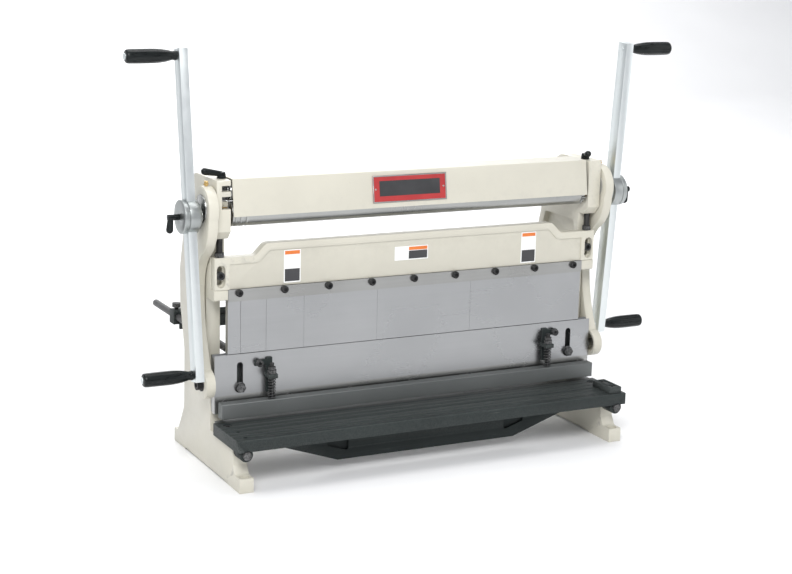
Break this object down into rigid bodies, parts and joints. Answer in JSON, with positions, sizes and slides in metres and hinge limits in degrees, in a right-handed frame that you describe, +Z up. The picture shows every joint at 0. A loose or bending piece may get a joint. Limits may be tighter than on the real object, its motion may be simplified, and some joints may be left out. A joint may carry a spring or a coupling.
{
  "type": "sheet metal brake",
  "caption": "Bench combination sheet metal brake with shear, press brake fingers and slip rolls, worked by two cranks.",
  "frame": {"origin": "on the floor at the middle of the feet", "axes": "+X to the right along the bed, +Y to the back, +Z up"},
  "size_m": [1.1152, 0.567, 0.7836],
  "materials": {
    "cream_paint": "semi-gloss",
    "dark_iron": "satin",
    "ground_steel": "ground",
    "machined_steel": "turned",
    "dark_steel": "satin",
    "zinc_steel": "bright zinc plated",
    "black_oxide": "black oxide",
    "black_plastic": "gloss",
    "brass": "satin",
    "bronze": "satin",
    "plate_white": "printed plate",
    "plate_red": "enamelled plate"
  },
  "bodies": {
    "frame": {"left_side_frame": "cream_paint", "right_side_frame": "cream_paint", "shaft_bushes": "bronze", "table": "dark_iron", "lower_shear_blade": "dark_steel", "fence_block": "dark_iron", "table_screws": "black_oxide", "frame_bolts": "black_oxide", "rear_tie_bar": "dark_iron", "ram_guide_bolts": "machined_steel", "beam_clamp_bolts": "black_oxide", "gauge_rods": "black_oxide", "gauge_rod_clamps": "dark_iron", "upper_roll_blocks": "black_oxide"},
    "crank": {"lower_roll": "machined_steel", "crank_hubs": "machined_steel"},
    "upper_roll": {"upper_roll": "machined_steel"},
    "rear_slide": {"rear_roll_blocks": "machined_steel", "rear_roll_adjusters": "black_oxide"},
    "rear_roll": {"rear_roll": "machined_steel"},
    "ram": {"ram_plate": "ground_steel", "ram_casting": "cream_paint", "upper_shear_blade": "ground_steel", "ram_screws": "black_oxide", "ram_pins": "machined_steel", "hold_down_brackets": "dark_iron"},
    "hold_down": {"hold_down_bar": "dark_steel", "hold_down_studs": "black_oxide", "hold_down_springs": "black_oxide"},
    "beam": {"die_beam": "cream_paint", "finger_clamp_strip": "ground_steel", "finger_bolts": "black_oxide", "jack_screws": "black_oxide", "label_plates": "plate_white", "finger_1in": "ground_steel", "finger_2in": "ground_steel", "finger_3in": "ground_steel", "finger_6in": "ground_steel", "finger_8in": "ground_steel", "finger_10in": "ground_steel"},
    "cover": {"roll_cover": "cream_paint", "name_plate": "plate_red"},
    "right_rod": {"right_connecting_rod": "cream_paint", "right_rod_bolt": "black_oxide", "right_oiler": "brass"},
    "right_bar": {"right_crank_bar": "zinc_steel"},
    "right_hub_lever": {"right_hub_lever": "black_plastic"},
    "right_clamp_lever": {"right_clamp_lever": "black_plastic"},
    "right_upper_grip": {"right_upper_grip": "black_plastic"},
    "right_lower_grip": {"right_lower_grip": "black_plastic"},
    "left_rod": {"left_connecting_rod": "cream_paint", "left_rod_bolt": "black_oxide", "left_oiler": "brass"},
    "left_bar": {"left_crank_bar": "zinc_steel"},
    "left_hub_lever": {"left_hub_lever": "black_plastic"},
    "left_clamp_lever": {"left_clamp_lever": "black_plastic"},
    "left_upper_grip": {"left_upper_grip": "black_plastic"},
    "left_lower_grip": {"left_lower_grip": "black_plastic"},
    "gauge": {"gauge_bar": "dark_iron", "gauge_lock_screws": "black_oxide"}
  },
  "joints": [
    {"name": "crank_turn", "type": "hinge", "parent": "frame", "child": "crank", "pos_m": [0, -0.0335, 0.4845], "axis": [1, 0, 0], "range_deg": [0, 180]},
    {"name": "upper_roll_turn", "type": "hinge", "parent": "frame", "child": "upper_roll", "pos_m": [0, -0.0275, 0.52405], "axis": [1, 0, 0], "range_deg": [-199, 0]},
    {"name": "rear_roll_slide", "type": "slide", "parent": "frame", "child": "rear_slide", "axis": [0, 1, 0], "range_m": [-0.014, 0]},
    {"name": "rear_roll_turn", "type": "hinge", "parent": "rear_slide", "child": "rear_roll", "pos_m": [0, 0.026, 0.474], "axis": [1, 0, 0], "continuous": true},
    {"name": "ram_slide", "type": "slide", "parent": "frame", "child": "ram", "axis": [0, 0, 1], "range_m": [-0.025, 0]},
    {"name": "hold_down_slide", "type": "slide", "parent": "ram", "child": "hold_down", "axis": [0, 0, 1], "range_m": [0, 0.0175], "deforming": ["hold_down_springs"]},
    {"name": "right_rod_turn", "type": "hinge", "parent": "crank", "child": "right_rod", "pos_m": [0.42, -0.0335, 0.497], "axis": [1, 0, 0], "range_deg": [-180, 0]},
    {"name": "left_rod_turn", "type": "hinge", "parent": "crank", "child": "left_rod", "pos_m": [-0.42, -0.0335, 0.497], "axis": [1, 0, 0], "range_deg": [-180, 0]},
    {"name": "die_beam_slide", "type": "slide", "parent": "frame", "child": "beam", "axis": [0, 0, 1], "range_m": [0, 0.008]},
    {"name": "cover_hinge", "type": "hinge", "parent": "frame", "child": "cover", "pos_m": [0, 0.003, 0.545], "axis": [-1, 0, 0], "range_deg": [0, 100]},
    {"name": "right_bar_slide", "type": "slide", "parent": "crank", "child": "right_bar", "axis": [0, -0.0854, 0.9963], "range_m": [-0.12, 0.12]},
    {"name": "right_upper_grip_turn", "type": "hinge", "parent": "right_bar", "child": "right_upper_grip", "pos_m": [0.5, -0.05798, 0.77005], "axis": [1, 0, 0], "continuous": true},
    {"name": "right_lower_grip_turn", "type": "hinge", "parent": "right_bar", "child": "right_lower_grip", "pos_m": [0.5, -0.00902, 0.19895], "axis": [1, 0, 0], "continuous": true},
    {"name": "right_hub_lever_turn", "type": "hinge", "parent": "crank", "child": "right_hub_lever", "pos_m": [0.48, -0.0335, 0.4845], "axis": [1, 0, 0], "range_deg": [-60, 60]},
    {"name": "right_clamp_lever_turn", "type": "hinge", "parent": "frame", "child": "right_clamp_lever", "pos_m": [0.3884, -0.0275, 0.555], "axis": [0, 0, 1], "range_deg": [-20, 20]},
    {"name": "left_bar_slide", "type": "slide", "parent": "crank", "child": "left_bar", "axis": [0, 0.1426, 0.9898], "range_m": [-0.12, 0.12]},
    {"name": "left_upper_grip_turn", "type": "hinge", "parent": "left_bar", "child": "left_upper_grip", "pos_m": [-0.5, 0.00738, 0.76817], "axis": [1, 0, 0], "continuous": true},
    {"name": "left_lower_grip_turn", "type": "hinge", "parent": "left_bar", "child": "left_lower_grip", "pos_m": [-0.5, -0.07438, 0.20083], "axis": [1, 0, 0], "continuous": true},
    {"name": "left_hub_lever_turn", "type": "hinge", "parent": "crank", "child": "left_hub_lever", "pos_m": [-0.48, -0.0335, 0.4845], "axis": [1, 0, 0], "range_deg": [-60, 60]},
    {"name": "left_clamp_lever_turn", "type": "hinge", "parent": "frame", "child": "left_clamp_lever", "pos_m": [-0.3884, -0.0275, 0.555], "axis": [0, 0, 1], "range_deg": [-20, 20]},
    {"name": "gauge_slide", "type": "slide", "parent": "frame", "child": "gauge", "axis": [0, 1, 0], "range_m": [-0.12, 0.1]}
  ],
  "couplings": [
    {"joint": "upper_roll_turn", "follows": "crank_turn", "ratio": -1.1053},
    {"joint": "ram_slide", "follows": "crank_turn", "m_per_rad": -0.0079577},
    {"joint": "hold_down_slide", "follows": "crank_turn", "m_per_rad": 0.0055704},
    {"joint": "right_rod_turn", "follows": "crank_turn", "ratio": -1},
    {"joint": "left_rod_turn", "follows": "crank_turn", "ratio": -1}
  ]
}
